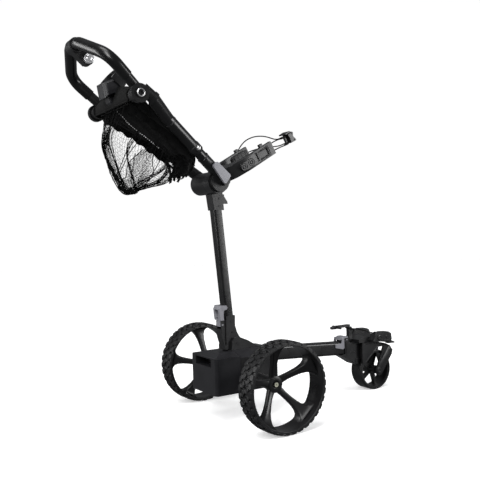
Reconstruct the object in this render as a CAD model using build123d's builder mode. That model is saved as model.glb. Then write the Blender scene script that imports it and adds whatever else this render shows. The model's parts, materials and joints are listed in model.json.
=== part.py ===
from build123d import *

import os
from math import cos, radians, sin, tan

# Electric golf trolley, in millimetres. The origin is on the ground, at the middle of the footprint.
# Places are given as distances ahead of the rear axle, to the left of the middle, and up from the
# ground, and at() turns them into the row frame: +X forward, +Y left, +Z up.
os.makedirs("parts", exist_ok=True)

# ---------------------------------------------------------------- driving dimensions
AXLE_X = -65.0  # the rear axle's place behind the origin
SIDES = (("right", -1), ("left", 1))
RUNNING = 0.05  # radial clearance of a pin or shaft that turns

WHEEL_R, WHEEL_W, TRACK = 140.0, 70.0, 591.0  # rear wheels; track is measured over the tyres
TYRE_T, RIM_T = 9.0, 6.0
WHEEL_MID = (TRACK - WHEEL_W) / 2
HUB_R, HUB_IN, HUB_OUT = 26.0, 197.0, 223.0
SPOKES, SPOKE_ANGLE = 5, 24.0
SHAFT_R, SHAFT_IN = 6.0, 60.0

MOTOR_R, MOTOR_IN, MOTOR_OUT, GEARBOX_R = 26.0, 6.0, 46.0, 24.0

FRONT_R, FRONT_W, FRONT_AHEAD = 74.7, 57.0, 593.0
FRONT_AXLE_R = 5.0

BOX_HALF, BOX_LOW, BOX_TOP, WALL = 82.0, 94.0, 205.0, 3.0
BATTERY_REAR, BATTERY_FRONT, BATTERY_TOP = -127.0, -36.5, 211.0
HOUSING_FRONT, GUSSET_REACH = 113.0, 34.0
RAIL_IN, RAIL_OUT, RAIL_LOW, RAIL_TOP, RAIL_REACH = 26.0, 38.0, 186.0, 198.0, 38.0
CELL_R, CELL_LONG, CELL_STEP = 9.1, 65.0, 18.8

TUBE_REAR, TUBE_FRONT, TUBE_UP, TUBE_FALL = 14.0, 452.0, 197.4, 0.065
TUBE_HALF_H, TUBE_HALF_W, TUBE_T = 24.0, 20.0, 3.0
LID_TOP = 223.0

POST_AHEAD, POST_UP, POST_LEAN = -14.0, 244.0, 0.0893  # fold axis, and how far back the post leans
POST_LINE = -24.4  # where the post's middle line passes the fold axis's height
POST_HALF_D, POST_HALF_W = 14.5, 18.0
BARREL_AHEAD, BARREL_UP, BARREL_R, BARREL_PIN_R = -85.0, 766.0, 36.0, 9.0

ARM_START, ARM_WAY = (-74.0, 59.0, 782.0), tuple(Vector(-0.775, 0.225, 0.590).normalized())
ARM_LONG, END_LEFT = 272.0, 158.5
PIVOT_AHEAD, PIVOT_UP, PIVOT_R, BOLT_R = -394.0, 1000.0, 27.0, 6.0
CHEEK_IN, CHEEK_OUT = 162.5, 178.0
LOOP_R, GRIP_R = 15.0, 17.5
DIAL_AHEAD, DIAL_UP, DIAL_R = -482.0, 1121.0, 15.0

FOLD_AHEAD, FOLD_UP = 505.0, 118.0  # the front wheel unit's fold axis
FORK_IN, FORK_OUT = 34.0, 42.0
YOKE_IN, YOKE_OUT = 20.6, 23.8  # the front latch's arms, one each side of the tube
FRONT_RIM_R = 67.0

CRADLE_ROOT, CRADLE_TILT = (-46.0, 0.0, 786.0), 29.5
CRADLE_LOW, CRADLE_HIGH, CRADLE_REACH = -18.0, 26.0, 188.0
CORD_R = 2.0


# ---------------------------------------------------------------- places and shared shapes
def at(ahead, left, up):
    """A point of the row frame."""
    return Vector(AXLE_X + ahead, left, up)


def side(left):
    """The side-view plane this far left: local x ahead of the rear axle, local y up, facing right."""
    return Plane(origin=at(0, left, 0), x_dir=(1, 0, 0), z_dir=(0, -1, 0))


def slab(points, left_from, left_to, corner=0.0, mode=Mode.ADD):
    """A plate with this side outline, between two distances to the left."""
    with BuildSketch(side(max(left_from, left_to))) as outline:
        with BuildLine():
            Polyline(*points, close=True)
        make_face()
        if corner:
            fillet(outline.vertices(), corner)
    extrude(outline.sketch, amount=abs(left_to - left_from), mode=mode)


def rod(radius, ahead, up, left_from, left_to, mode=Mode.ADD):
    """A cylinder along Y, between two distances to the left."""
    with Locations(Location(at(ahead, (left_from + left_to) / 2, up), (90, 0, 0))):
        Cylinder(radius, abs(left_to - left_from), mode=mode)


def block(ahead, left, up, mode=Mode.ADD):
    """A box given by its two limits ahead, left and up."""
    middle = at(sum(ahead) / 2, sum(left) / 2, sum(up) / 2)
    with Locations(middle):
        Box(ahead[1] - ahead[0], left[1] - left[0], up[1] - up[0], mode=mode)


def tube_outline(half, start=TUBE_REAR, end=TUBE_FRONT):
    """The main tube's side outline, half its height each side of its falling middle line."""
    low, high = (TUBE_UP - TUBE_FALL * (place - TUBE_REAR) for place in (start, end))
    return [(start, low - half), (end, high - half), (end, high + half), (start, low + half)]


def post_outline(half, low, high):
    """The post's side outline between two heights."""
    foot, head = (POST_LINE - POST_LEAN * (up - POST_UP) for up in (low, high))
    return [(foot - half, low), (foot + half, low), (head + half, high), (head - half, high)]


def arm_point(along, way):
    """A point on a handle arm's middle line, on the side given by way."""
    start, step = ARM_START, ARM_WAY
    return at(start[0] + step[0] * along, way * (start[1] + step[1] * along), start[2] + step[2] * along)


def arm_plane(along, way):
    """The plane across a handle arm at this distance along it."""
    return Plane(origin=arm_point(along, way), z_dir=(ARM_WAY[0], way * ARM_WAY[1], ARM_WAY[2]))


def end_plane(along, way):
    """The plane across a handle arm's end fitting, which runs straight back beside the loop."""
    spot = arm_point(along, way)
    return Plane(origin=(spot.X, way * END_LEFT, spot.Z), z_dir=(-0.796, 0, 0.606))


def arm_rod(radius, along_from, along_to, way, mode=Mode.ADD):
    """A cylinder along a handle arm."""
    with Locations(arm_plane(along_from, way)):
        bottom = (Align.CENTER, Align.CENTER, Align.MIN)
        Cylinder(radius, along_to - along_from, align=bottom, mode=mode)


# ---------------------------------------------------------------- rear wheels and their drive
for name, way in SIDES:
    inner, outer = way * (WHEEL_MID - WHEEL_W / 2), way * (WHEEL_MID + WHEEL_W / 2)

    with BuildPart() as tyre:
        rod(WHEEL_R, 0, WHEEL_R, inner, outer)
        fillet(tyre.edges().filter_by(GeomType.CIRCLE), 7)
        rod(WHEEL_R - TYRE_T, 0, WHEEL_R, inner, outer, mode=Mode.SUBTRACT)
    tyre.part.label = f"tyre_{name}"
    export_step(tyre.part, f"parts/tyre_{name}.step")

    with BuildPart() as rim:
        rod(WHEEL_R - TYRE_T, 0, WHEEL_R, inner + way * 2, outer - way * 2)
        rod(WHEEL_R - TYRE_T - RIM_T, 0, WHEEL_R, inner, outer, mode=Mode.SUBTRACT)
        rod(HUB_R, 0, WHEEL_R, way * HUB_IN, way * HUB_OUT)
        for number in range(SPOKES):
            turn = radians(SPOKE_ANGLE + number * 360 / SPOKES)
            out = (cos(turn), 0, sin(turn))
            foot = at(18 * out[0], way * 212, WHEEL_R + 18 * out[2])
            head = at(126.5 * out[0], way * 243, WHEEL_R + 126.5 * out[2])
            with BuildSketch(Plane(origin=foot, x_dir=(0, 1, 0), z_dir=out)):
                Rectangle(20, 24)
            with BuildSketch(Plane(origin=head, x_dir=(0, 1, 0), z_dir=out)):
                Rectangle(34, 56)
            loft()
        rod(SHAFT_R, 0, WHEEL_R, way * (HUB_IN - 5), way * (HUB_OUT + 5), mode=Mode.SUBTRACT)
    rim.part.label = f"rim_{name}"
    export_step(rim.part, f"parts/rim_{name}.step")

    with BuildPart() as axle_shaft:
        rod(SHAFT_R, 0, WHEEL_R, way * SHAFT_IN, way * HUB_OUT)
        rod(3.2, 0, WHEEL_R, way * (HUB_OUT - 20), way * HUB_OUT, mode=Mode.SUBTRACT)
    axle_shaft.part.label = f"axle_shaft_{name}"
    export_step(axle_shaft.part, f"parts/axle_shaft_{name}.step")

    with BuildPart() as hub_bolt:
        rod(7, 0, WHEEL_R, way * HUB_OUT, way * (HUB_OUT + 4))
        rod(3, 0, WHEEL_R, way * (HUB_OUT - 18), way * HUB_OUT)
        with BuildSketch(side(way * (HUB_OUT + 4))) as socket:
            with Locations((0, WHEEL_R)):
                RegularPolygon(3, 6)
        extrude(socket.sketch, amount=2.5, both=True, mode=Mode.SUBTRACT)
    hub_bolt.part.label = f"hub_bolt_{name}"
    export_step(hub_bolt.part, f"parts/hub_bolt_{name}.step")

    with BuildPart() as gear_motor:
        rod(MOTOR_R, 0, WHEEL_R, way * MOTOR_IN, way * MOTOR_OUT)
        rod(GEARBOX_R, 0, WHEEL_R, way * MOTOR_OUT, way * (BOX_HALF - WALL))
        rod(SHAFT_R + RUNNING, 0, WHEEL_R, way * (SHAFT_IN - 2), way * BOX_HALF, mode=Mode.SUBTRACT)
    gear_motor.part.label = f"gear_motor_{name}"
    export_step(gear_motor.part, f"parts/gear_motor_{name}.step")

    with BuildPart() as axle_tube:
        rod(30, 0, WHEEL_R, way * BOX_HALF, way * (BOX_HALF + 6))
        rod(21, 0, WHEEL_R, way * (BOX_HALF + 6), way * 192)
        rod(17, 0, WHEEL_R, way * BOX_HALF, way * 192, mode=Mode.SUBTRACT)
    axle_tube.part.label = f"axle_tube_{name}"
    export_step(axle_tube.part, f"parts/axle_tube_{name}.step")

with BuildPart() as axle_bearings:
    for name, way in SIDES:
        for start in (BOX_HALF + 1, 181):
            rod(17, 0, WHEEL_R, way * start, way * (start + 9))
            rod(SHAFT_R + RUNNING, 0, WHEEL_R, way * start, way * (start + 9), mode=Mode.SUBTRACT)
axle_bearings.part.label = "axle_bearings"
export_step(axle_bearings.part, "parts/axle_bearings.step")

# ---------------------------------------------------------------- battery
with BuildPart() as battery_case:
    block((BATTERY_REAR, BATTERY_FRONT), (-BOX_HALF, BOX_HALF), (BOX_LOW, BATTERY_TOP))
    fillet(battery_case.edges().filter_by(Axis.Z).group_by(Axis.X)[0], 11)
    with BuildSketch(Plane.XY.offset(BATTERY_TOP)) as foot:
        with Locations((AXLE_X + (BATTERY_REAR + BATTERY_FRONT) / 2 + 3, 0)):
            Rectangle(BATTERY_FRONT - BATTERY_REAR - 6, 2 * BOX_HALF - 16)
    with BuildSketch(Plane.XY.offset(LID_TOP - 3)) as crown:
        with Locations((AXLE_X + BATTERY_FRONT - 28, 0)):
            Rectangle(56, 84)
    loft()
    block((BATTERY_REAR + 8, BATTERY_FRONT - 4), (-69.5, 69.5), (BOX_LOW + 4, 171), mode=Mode.SUBTRACT)
    block((BATTERY_REAR, BATTERY_REAR + 38), (-50, 50), (181, 207), mode=Mode.SUBTRACT)
    for way in (-1, 1):
        places = sorted((way * (RAIL_IN - 0.5), way * (RAIL_OUT + 0.5)))
        block((BATTERY_FRONT - RAIL_REACH - 1, BATTERY_FRONT), places, (RAIL_LOW - 0.5, RAIL_TOP + 0.5),
              mode=Mode.SUBTRACT)
battery_case.part.label = "battery_case"
export_step(battery_case.part, "parts/battery_case.step")

with BuildPart() as battery_cells:
    for column in range(7):
        for row in range(3):
            place = at(BATTERY_REAR + 8 + CELL_LONG / 2, (column - 3) * CELL_STEP, 112 + CELL_STEP * row)
            with Locations(Location(place, (0, 90, 0))):
                Cylinder(CELL_R, CELL_LONG)
battery_cells.part.label = "battery_cells"
export_step(battery_cells.part, "parts/battery_cells.step")

with BuildPart() as battery_board:
    block((BATTERY_REAR + 8 + CELL_LONG, BATTERY_REAR + 10 + CELL_LONG), (-64, 64), (104, 168))
battery_board.part.label = "battery_board"
export_step(battery_board.part, "parts/battery_board.step")

# ---------------------------------------------------------------- housing, tube and hinge cover
with BuildPart() as lower_housing:
    block((BATTERY_FRONT + 1, HOUSING_FRONT), (-BOX_HALF, BOX_HALF), (BOX_LOW, BOX_TOP))
    fillet(lower_housing.edges().filter_by(Axis.Z).group_by(Axis.X)[-1], 14)
    fillet(lower_housing.faces().sort_by(Axis.Z)[0].edges().group_by(Axis.X)[-1], 10)
    block((BATTERY_FRONT + 1 + WALL, HOUSING_FRONT - WALL - 3), (-BOX_HALF + WALL, BOX_HALF - WALL),
          (BOX_LOW + WALL, BOX_TOP), mode=Mode.SUBTRACT)
    for way in (-1, 1):
        block((BATTERY_FRONT - RAIL_REACH, BATTERY_FRONT + 1), sorted((way * RAIL_IN, way * RAIL_OUT)),
              (RAIL_LOW, RAIL_TOP))
    slab([(HOUSING_FRONT - 1, 138), (HOUSING_FRONT + 4, 152), (HOUSING_FRONT + 14, 161),
          (HOUSING_FRONT + GUSSET_REACH, 165), (HOUSING_FRONT + GUSSET_REACH, 168), (HOUSING_FRONT - 1, 170)],
         -26, 26)
    slab(tube_outline(TUBE_HALF_H, end=HOUSING_FRONT + GUSSET_REACH + 1), -TUBE_HALF_W, TUBE_HALF_W,
         mode=Mode.SUBTRACT)
    rod(12, 0, WHEEL_R, -BOX_HALF - 1, BOX_HALF + 1, mode=Mode.SUBTRACT)
lower_housing.part.label = "lower_housing"
export_step(lower_housing.part, "parts/lower_housing.step")

with BuildPart() as upper_housing:
    with BuildSketch(Plane.XY.offset(BOX_TOP)) as eaves:
        with Locations((AXLE_X + (BATTERY_FRONT + 1 + HOUSING_FRONT) / 2, 0)):
            RectangleRounded(HOUSING_FRONT - BATTERY_FRONT - 1, 2 * BOX_HALF, 8)
    with BuildSketch(Plane.XY.offset(LID_TOP)) as ridge:
        with Locations((AXLE_X + (BATTERY_FRONT + 1 + HOUSING_FRONT - 16) / 2, 0)):
            RectangleRounded(HOUSING_FRONT - 16 - BATTERY_FRONT - 1, 68, 8)
    loft()
    block((-30, 100), (-66, 66), (BOX_TOP, BOX_TOP + 3), mode=Mode.SUBTRACT)
    slab(tube_outline(TUBE_HALF_H, end=HOUSING_FRONT + 5), -TUBE_HALF_W, TUBE_HALF_W, mode=Mode.SUBTRACT)
    rod(24.5, POST_AHEAD, POST_UP, -21.5, 21.5, mode=Mode.SUBTRACT)
upper_housing.part.label = "upper_housing"
export_step(upper_housing.part, "parts/upper_housing.step")

with BuildPart() as hinge_cover:
    slab([(-36, LID_TOP), (-34, 250), (-25, 262), (-3, 262), (27, 249), (58, 230), (84, LID_TOP)], -30, 30)
    block((-40, 58), (-21, 21), (LID_TOP - 5, 270), mode=Mode.SUBTRACT)
    rod(6, POST_AHEAD, POST_UP, -30, 30, mode=Mode.SUBTRACT)
hinge_cover.part.label = "hinge_cover"
export_step(hinge_cover.part, "parts/hinge_cover.step")

with BuildPart() as post_hinge_pin:
    rod(6, POST_AHEAD, POST_UP, -31, 31)
post_hinge_pin.part.label = "post_hinge_pin"
export_step(post_hinge_pin.part, "parts/post_hinge_pin.step")

with BuildPart() as controller_board:
    block((62, 102), (-58, 58), (114, 116))
    for left in (-40, -14, 14, 40):
        block((70, 92), (left - 9, left + 9), (116, 128))
controller_board.part.label = "controller_board"
export_step(controller_board.part, "parts/controller_board.step")

with BuildPart() as main_tube:
    slab(tube_outline(TUBE_HALF_H), -TUBE_HALF_W, TUBE_HALF_W)
    fillet(main_tube.edges().filter_by(lambda edge: edge.length > 400), 8)
    slab(tube_outline(TUBE_HALF_H - TUBE_T, TUBE_REAR - 1, TUBE_FRONT + 1),
         TUBE_T - TUBE_HALF_W, TUBE_HALF_W - TUBE_T, mode=Mode.SUBTRACT)
main_tube.part.label = "main_tube"
export_step(main_tube.part, "parts/main_tube.step")

# ---------------------------------------------------------------- front bracket and its latch
with BuildPart() as front_bracket:
    slab([(424, 147), (446, 137), (495, 107), (505, 105), (517, 110), (517, 184), (480, 187), (455, 196.5),
          (450, 197), (450, 148)], -24, 24)
    rod(14, FOLD_AHEAD, FOLD_UP, -24, 24)
    slab(tube_outline(TUBE_HALF_H, start=420), -TUBE_HALF_W, TUBE_HALF_W, mode=Mode.SUBTRACT)
    rod(17, FOLD_AHEAD, FOLD_UP, -10.5, 10.5, mode=Mode.SUBTRACT)
    block((FOLD_AHEAD, 520), (-10.5, 10.5), (100, 136), mode=Mode.SUBTRACT)
    for way in (-1, 1):
        slab([(454, 192), (474, 184), (474, 206), (456, 206)], way * 14.5, way * 18)
    rod(2.5 + RUNNING, 464, 200, -18, 18, mode=Mode.SUBTRACT)
    rod(5, FOLD_AHEAD, FOLD_UP, -24, 24, mode=Mode.SUBTRACT)
front_bracket.part.label = "front_bracket"
export_step(front_bracket.part, "parts/front_bracket.step")

with BuildPart() as front_latch:
    slab([(436, 200), (462, 199), (469, 196.5), (474, 200), (472, 210), (460, 213), (444, 213), (437, 209)],
         -14, 14)
    block((438, 446), (-YOKE_OUT, YOKE_OUT), (203, 208))
    for way in (-1, 1):
        slab([(406, 176), (440, 168), (446, 172), (446, 208), (438, 208), (434, 190), (406, 188)],
             way * YOKE_IN, way * YOKE_OUT)
    rod(2.5, 464, 200, -18, 18)
front_latch.part.label = "front_latch"
export_step(front_latch.part, "parts/front_latch.step")

with BuildPart() as front_hinge_pin:
    rod(5, FOLD_AHEAD, FOLD_UP, -24, 24)
    for way in (-1, 1):
        rod(9.5, FOLD_AHEAD, FOLD_UP, way * 24, way * 26.5)
front_hinge_pin.part.label = "front_hinge_pin"
export_step(front_hinge_pin.part, "parts/front_hinge_pin.step")

# ---------------------------------------------------------------- front wheel unit
with BuildPart() as front_fork:
    plate = [(516, 106), (528, 106), (590, 161), (622, 161), (583, 72), (588, 58), (600, 54), (612, 62),
             (664, 128), (668, 142), (655, 160), (632, 171), (581, 184), (516, 184)]
    for way in (-1, 1):
        slab(plate, way * FORK_IN, way * FORK_OUT)
    slab([(520.5, 124), (560, 124), (600, 150), (600, 178), (581, 184), (520.5, 184)], -FORK_IN, FORK_IN)
    rod(FRONT_R + 5, FRONT_AHEAD, FRONT_R, -FORK_IN, FORK_IN, mode=Mode.SUBTRACT)
    rod(14, FOLD_AHEAD, FOLD_UP, -10, 10)
    block((FOLD_AHEAD, 524), (-10, 10), (FOLD_UP - 6, FOLD_UP + 14))
    rod(5 + RUNNING, FOLD_AHEAD, FOLD_UP, -10, 10, mode=Mode.SUBTRACT)
    rod(FRONT_AXLE_R, FRONT_AHEAD, FRONT_R, -FORK_OUT, FORK_OUT, mode=Mode.SUBTRACT)
front_fork.part.label = "front_fork"
export_step(front_fork.part, "parts/front_fork.step")

with BuildPart() as front_axle:
    rod(FRONT_AXLE_R, FRONT_AHEAD, FRONT_R, -FORK_OUT, FORK_OUT)
    for way in (-1, 1):
        rod(9, FRONT_AHEAD, FRONT_R, way * FORK_OUT, way * (FORK_OUT + 3))
front_axle.part.label = "front_axle"
export_step(front_axle.part, "parts/front_axle.step")

with BuildPart() as front_tyre:
    rod(FRONT_R, FRONT_AHEAD, FRONT_R, -FRONT_W / 2, FRONT_W / 2)
    fillet(front_tyre.edges().filter_by(GeomType.CIRCLE), 6)
    rod(FRONT_RIM_R, FRONT_AHEAD, FRONT_R, -FRONT_W / 2, FRONT_W / 2, mode=Mode.SUBTRACT)
front_tyre.part.label = "front_tyre"
export_step(front_tyre.part, "parts/front_tyre.step")

with BuildPart() as front_rim:
    rod(FRONT_RIM_R, FRONT_AHEAD, FRONT_R, -26, 26)
    rod(FRONT_RIM_R - 4, FRONT_AHEAD, FRONT_R, -26, 26, mode=Mode.SUBTRACT)
    rod(15, FRONT_AHEAD, FRONT_R, -30, 30)
    for number in range(SPOKES):
        turn = radians(71 + number * 360 / SPOKES)
        spoke = at(FRONT_AHEAD + 38.5 * cos(turn), 0, FRONT_R + 38.5 * sin(turn))
        with Locations(Plane(origin=spoke, x_dir=(cos(turn), 0, sin(turn)), z_dir=(0, 1, 0))):
            Box(52, 12, 15)
    rod(FRONT_AXLE_R + RUNNING, FRONT_AHEAD, FRONT_R, -31, 31, mode=Mode.SUBTRACT)
front_rim.part.label = "front_rim"
export_step(front_rim.part, "parts/front_rim.step")

with BuildPart() as lower_cradle:
    slab([(498, 186), (582, 186), (640, 173), (660, 172), (660, 176), (640, 190), (610, 205), (530, 205),
          (498, 198)], -45, 45)
    for way in (-1, 1):
        slab([(540, 190), (600, 184), (630, 182), (636, 190), (633, 212), (622, 219), (590, 221), (556, 213)],
             way * 45, way * 72, corner=4)
        slab([(628, 173), (660, 172), (660, 176), (628, 190)], way * 45, way * 62)
        block((563, 572), sorted((way * 51, way * 61)), (210, 222))
    block((484, 498), (-8, 8), (190, 243))
lower_cradle.part.label = "lower_cradle"
export_step(lower_cradle.part, "parts/lower_cradle.step")

with BuildPart() as strap_toggle:
    block((430, 490), (-7, 7), (243.5, 252))
    with Locations(Location(at(432, 0, 246), (90, 0, 0))):
        Cylinder(5, 44)
    block((406, 428), (-6, 6), (241, 250))
strap_toggle.part.label = "strap_toggle"
export_step(strap_toggle.part, "parts/strap_toggle.step")


def cord(points):
    """A cord's tube: straight runs joined by arcs as large as the two runs beside each corner allow."""
    places = [at(*point) for point in points]
    radii = []
    for before, corner, after in zip(places, places[1:], places[2:]):
        turn = radians((corner - before).get_angle(after - corner))
        shorter = min((corner - before).length, (after - corner).length)
        radii.append(0.45 * shorter / tan(turn / 2))
    print("cord arc radii", [round(radius, 1) for radius in radii])
    with BuildLine() as route:
        FilletPolyline(*places, radius=radii)
    line = route.line
    with BuildPart() as made:
        with BuildSketch(Plane(origin=line @ 0, z_dir=line % 0)):
            Circle(CORD_R)
        sweep(path=line)
    return made.part


with BuildPart() as lower_bungee:
    add(cord([(561.7, 56, 217), (520, 30, 234), (479, 11.5, 239), (479, -11.5, 239), (520, -30, 234),
              (561.7, -56, 217)]))
lower_bungee.part.label = "lower_bungee"
export_step(lower_bungee.part, "parts/lower_bungee.step")

# ---------------------------------------------------------------- post, its foot and its head
with BuildPart() as post_tube:
    slab(post_outline(POST_HALF_D, 286, 728), -POST_HALF_W, POST_HALF_W)
    fillet(post_tube.edges().filter_by(lambda edge: edge.length > 400), 6)
    slab(post_outline(POST_HALF_D - 2.5, 285, 729), 2.5 - POST_HALF_W, POST_HALF_W - 2.5, mode=Mode.SUBTRACT)
post_tube.part.label = "post_tube"
export_step(post_tube.part, "parts/post_tube.step")

with BuildPart() as lower_bracket:
    slab([(-65, 319.5), (-65, 270), (-56, 240), (-56, 225), (-30, 226), (-14, 226), (4, 244), (3, 260),
          (-8, 278), (-15, 302), (-14, 334), (-48, 334), (-48, 319.5)], -20, 20)
    for way in (-1, 1):
        block((-70, -49.5), sorted((way * 16.5, way * 21)), (240, 335), mode=Mode.SUBTRACT)
    rod(22, POST_AHEAD, POST_UP, -20, 20)
    slab(post_outline(POST_HALF_D, 286, 340), -POST_HALF_W, POST_HALF_W, mode=Mode.SUBTRACT)
    block((-70, -49), (-12, 12), (292, 332), mode=Mode.SUBTRACT)
    rod(3 + RUNNING, -60, 306, -21, 21, mode=Mode.SUBTRACT)
    rod(6 + RUNNING, POST_AHEAD, POST_UP, -21, 21, mode=Mode.SUBTRACT)
lower_bracket.part.label = "lower_bracket"
export_step(lower_bracket.part, "parts/lower_bracket.step")

with BuildPart() as lower_latch:
    slab([(-69, 321), (-73, 358), (-67, 369), (-54, 369), (-51.5, 364), (-52, 355), (-57, 348), (-56, 321)],
         -20, 20)
    for way in (-1, 1):
        slab([(-62, 353), (-46, 355), (-42, 361), (-47, 369), (-62, 369)], way * 18.6, way * 21.5)
    with BuildSketch(Plane.YZ.offset(AXLE_X - 80)) as finger_hole:
        with Locations((0, 345)):
            RectangleRounded(22, 21, 8)
        with Locations((0, 327)):
            Circle(4.5)
    extrude(finger_hole.sketch, amount=40, mode=Mode.SUBTRACT)
    block((-66, -56), (-11.5, 11.5), (300, 322))
    rod(3, -60, 306, -16.4, 16.4)
lower_latch.part.label = "lower_latch"
export_step(lower_latch.part, "parts/lower_latch.step")

with BuildPart() as upper_collar:
    slab([(-80, 679), (-44, 679), (-48, 736), (-60, 752), (-100, 752), (-88, 736)], -21, 21)
    rod(BARREL_R, BARREL_AHEAD, BARREL_UP, -21.5, 21.5)
    slab(post_outline(POST_HALF_D, 670, 728), -POST_HALF_W, POST_HALF_W, mode=Mode.SUBTRACT)
    slab([(-47, 708), (-36, 712), (-36, 730), (-49, 732)], -11, 11)
    slab([(-45, 700), (-30, 700), (-30, 740), (-45, 740)], -6.5, 6.5, mode=Mode.SUBTRACT)
    rod(2.5 + RUNNING, -40, 722, -12, 12, mode=Mode.SUBTRACT)
    rod(BARREL_PIN_R, BARREL_AHEAD, BARREL_UP, -22, 22, mode=Mode.SUBTRACT)
upper_collar.part.label = "upper_collar"
export_step(upper_collar.part, "parts/upper_collar.step")

with BuildPart() as fold_trigger:
    slab([(-43.5, 727), (-35, 727), (-22, 708), (-20, 700), (-38, 700), (-43.5, 712)], -6, 6)
    rod(2.5, -40, 722, -11, 11)
fold_trigger.part.label = "fold_trigger"
export_step(fold_trigger.part, "parts/fold_trigger.step")

with BuildPart() as barrel_pin:
    rod(BARREL_PIN_R, BARREL_AHEAD, BARREL_UP, -59, 59)
barrel_pin.part.label = "barrel_pin"
export_step(barrel_pin.part, "parts/barrel_pin.step")

with BuildPart() as post_screws:
    for ahead, up, left in ((-28, 313, 20), (-26, 280, 20), (-60, 716, 21), (-60, 692, 21)):
        for way in (-1, 1):
            rod(4, ahead, up, way * left, way * (left + 1.5))
post_screws.part.label = "post_screws"
export_step(post_screws.part, "parts/post_screws.step")

# ---------------------------------------------------------------- upper bag cradle
tilt = radians(CRADLE_TILT)
CRADLE = Plane(origin=at(*CRADLE_ROOT), x_dir=(cos(tilt), 0, sin(tilt)), z_dir=(-sin(tilt), 0, cos(tilt)))

with BuildPart() as upper_cradle:
    with BuildSketch(CRADLE.offset(CRADLE_LOW)):
        with BuildLine():
            Polyline((96, 66), (CRADLE_REACH, 68), (CRADLE_REACH, 82), (70, 84), (20, 72), (0, 54), (0, -54),
                     (20, -72), (70, -84), (CRADLE_REACH, -82), (CRADLE_REACH, -68), (96, -66))
            ThreePointArc((96, -66), (36, 0), (96, 66))
        make_face()
    extrude(amount=CRADLE_HIGH - CRADLE_LOW)
    with BuildSketch(CRADLE.offset(-10)):
        with Locations((-4, 0)):
            Rectangle(40, 36)
    extrude(amount=24)
    for way in (-1, 1):
        with Locations(CRADLE.location * Location((143, way * 86, 3))):
            Box(42, 16, 27, mode=Mode.SUBTRACT)
        with Locations(CRADLE.location * Location((112, way * 86, 6))):
            Box(9, 12, 30, mode=Mode.SUBTRACT)
        for out in (52, 84):
            with Locations(CRADLE.location * Location((out, way * 80, 2), (90, 0, 0))):
                Cylinder(13, 12)
        with Locations(CRADLE.location * Location((68, way * 80, 2))):
            Box(32, 12, 26)
        with Locations(CRADLE.location * Location((148, way * 75, 28))):
            Box(12, 12, 14)
    rod(BARREL_R + 0.1, BARREL_AHEAD, BARREL_UP, -60, 60, mode=Mode.SUBTRACT)
upper_cradle.part.label = "upper_cradle"
export_step(upper_cradle.part, "parts/upper_cradle.step")

with BuildPart() as cradle_pads:
    for way in (-1, 1):
        with BuildSketch(CRADLE.offset(CRADLE_LOW + 6)):
            with Locations((144, way * 63)):
                Rectangle(72, 6)
        extrude(amount=CRADLE_HIGH - CRADLE_LOW - 12)
cradle_pads.part.label = "cradle_pads"
export_step(cradle_pads.part, "parts/cradle_pads.step")


def cradle_place(out, left, high):
    """A point given along the cradle, to the left and above its middle plane."""
    return (CRADLE_ROOT[0] + out * cos(tilt) - high * sin(tilt), left,
            CRADLE_ROOT[2] + out * sin(tilt) + high * cos(tilt))


with BuildPart() as bag_clip:
    with BuildSketch(CRADLE.offset(-34)):
        with Locations((316, 0)):
            RectangleRounded(36, 34, 5)
    extrude(amount=36)
    with BuildSketch(CRADLE.offset(2)):
        with Locations((310, 0)):
            Rectangle(24, 40)
    extrude(amount=5)
    for high in (-4, -28):
        with BuildSketch(CRADLE.offset(high - 3)):
            with Locations((300, 0)):
                Rectangle(20, 60)
        extrude(amount=6, mode=Mode.SUBTRACT)
bag_clip.part.label = "bag_clip"
export_step(bag_clip.part, "parts/bag_clip.step")

with BuildPart() as upper_bungee:
    add(cord([cradle_place(*spot) for spot in (
        (158, 76, 27.8), (182, 71, 44), (222, 56, 46), (258, 38, 28), (284, 24, -4), (305, 12, -4),
        (305, -12, -4), (284, -24, -4), (228, -57, 14), (CRADLE_REACH + 1, -75, 17))]))
upper_bungee.part.label = "upper_bungee"
export_step(upper_bungee.part, "parts/upper_bungee.step")

with BuildPart() as lower_cord:
    add(cord([cradle_place(*spot) for spot in (
        (CRADLE_REACH + 1, 75, 4), (226, 59, 0), (268, 37, -20), (288, 24, -28), (305, 12, -28),
        (305, -12, -28), (288, -24, -28), (266, -37, -23), (226, -57, -14), (CRADLE_REACH + 1, -75, -8))]))
lower_cord.part.label = "second_bungee"
export_step(lower_cord.part, "parts/second_bungee.step")

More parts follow.
